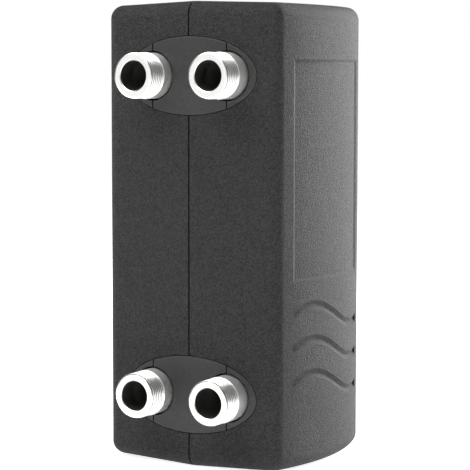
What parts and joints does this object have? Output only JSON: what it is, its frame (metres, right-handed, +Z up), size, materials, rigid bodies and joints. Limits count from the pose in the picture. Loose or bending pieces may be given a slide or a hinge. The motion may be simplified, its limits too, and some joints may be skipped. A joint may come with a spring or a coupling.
{
  "type": "plate heat exchanger",
  "caption": "Brazed plate heat exchanger with threaded ports in a two-piece foam insulation jacket, with oval foam plugs around the ports.",
  "frame": {"origin": "centre of the four ports, in the plane of their open ends", "axes": "+X to the right and +Z up when looking at the ports, +Y into the exchanger; the ports open towards -Y"},
  "size_m": [0.168, 0.1634, 0.3428],
  "materials": {
    "cover_steel": "brushed stainless sheet",
    "plate_steel": "pressed stainless sheet with copper braze in its joints",
    "port_steel": "turned stainless",
    "jacket_foam": "moulded bead foam, fine grained",
    "plug_foam": "moulded bead foam, smooth skin"
  },
  "bodies": {
    "exchanger": {"front_cover_plate": "cover_steel", "rear_cover_plate": "cover_steel", "port_top_left": "port_steel", "port_top_right": "port_steel", "port_bottom_left": "port_steel", "port_bottom_right": "port_steel", "channel_plate_01": "plate_steel", "channel_plate_02": "plate_steel", "channel_plate_03": "plate_steel", "channel_plate_04": "plate_steel", "channel_plate_05": "plate_steel", "channel_plate_06": "plate_steel", "channel_plate_07": "plate_steel", "channel_plate_08": "plate_steel", "channel_plate_09": "plate_steel", "channel_plate_10": "plate_steel", "channel_plate_11": "plate_steel", "channel_plate_12": "plate_steel", "channel_plate_13": "plate_steel", "channel_plate_14": "plate_steel", "channel_plate_15": "plate_steel", "channel_plate_16": "plate_steel", "channel_plate_17": "plate_steel", "channel_plate_18": "plate_steel", "channel_plate_19": "plate_steel", "channel_plate_20": "plate_steel", "channel_plate_21": "plate_steel", "channel_plate_22": "plate_steel", "channel_plate_23": "plate_steel", "channel_plate_24": "plate_steel", "channel_plate_25": "plate_steel", "channel_plate_26": "plate_steel", "channel_plate_27": "plate_steel", "channel_plate_28": "plate_steel", "channel_plate_29": "plate_steel", "channel_plate_30": "plate_steel", "channel_plate_31": "plate_steel", "channel_plate_32": "plate_steel", "channel_plate_33": "plate_steel", "channel_plate_34": "plate_steel", "channel_plate_35": "plate_steel", "channel_plate_36": "plate_steel", "channel_plate_37": "plate_steel", "channel_plate_38": "plate_steel", "channel_plate_39": "plate_steel", "channel_plate_40": "plate_steel"},
    "left_jacket_half": {"left_shell": "jacket_foam"},
    "right_jacket_half": {"right_shell": "jacket_foam"},
    "top_centre_plug": {"top_insert_centre": "plug_foam"},
    "top_left_plug": {"top_insert_left": "plug_foam"},
    "top_right_plug": {"top_insert_right": "plug_foam"},
    "bottom_centre_plug": {"bottom_insert_centre": "plug_foam"},
    "bottom_left_plug": {"bottom_insert_left": "plug_foam"},
    "bottom_right_plug": {"bottom_insert_right": "plug_foam"}
  },
  "joints": [
    {"name": "left_jacket_half_slide", "type": "slide", "parent": "exchanger", "child": "left_jacket_half", "axis": [-1, 0, 0], "range_m": [0, 0.12]},
    {"name": "right_jacket_half_slide", "type": "slide", "parent": "exchanger", "child": "right_jacket_half", "axis": [1, 0, 0], "range_m": [0, 0.12]},
    {"name": "top_centre_plug_slide", "type": "slide", "parent": "exchanger", "child": "top_centre_plug", "axis": [0, -1, 0], "range_m": [0, 0.06]},
    {"name": "top_left_plug_slide", "type": "slide", "parent": "left_jacket_half", "child": "top_left_plug", "axis": [0, -1, 0], "range_m": [0, 0.06]},
    {"name": "top_right_plug_slide", "type": "slide", "parent": "right_jacket_half", "child": "top_right_plug", "axis": [0, -1, 0], "range_m": [0, 0.06]},
    {"name": "bottom_centre_plug_slide", "type": "slide", "parent": "exchanger", "child": "bottom_centre_plug", "axis": [0, -1, 0], "range_m": [0, 0.06]},
    {"name": "bottom_left_plug_slide", "type": "slide", "parent": "left_jacket_half", "child": "bottom_left_plug", "axis": [0, -1, 0], "range_m": [0, 0.06]},
    {"name": "bottom_right_plug_slide", "type": "slide", "parent": "right_jacket_half", "child": "bottom_right_plug", "axis": [0, -1, 0], "range_m": [0, 0.06]}
  ]
}
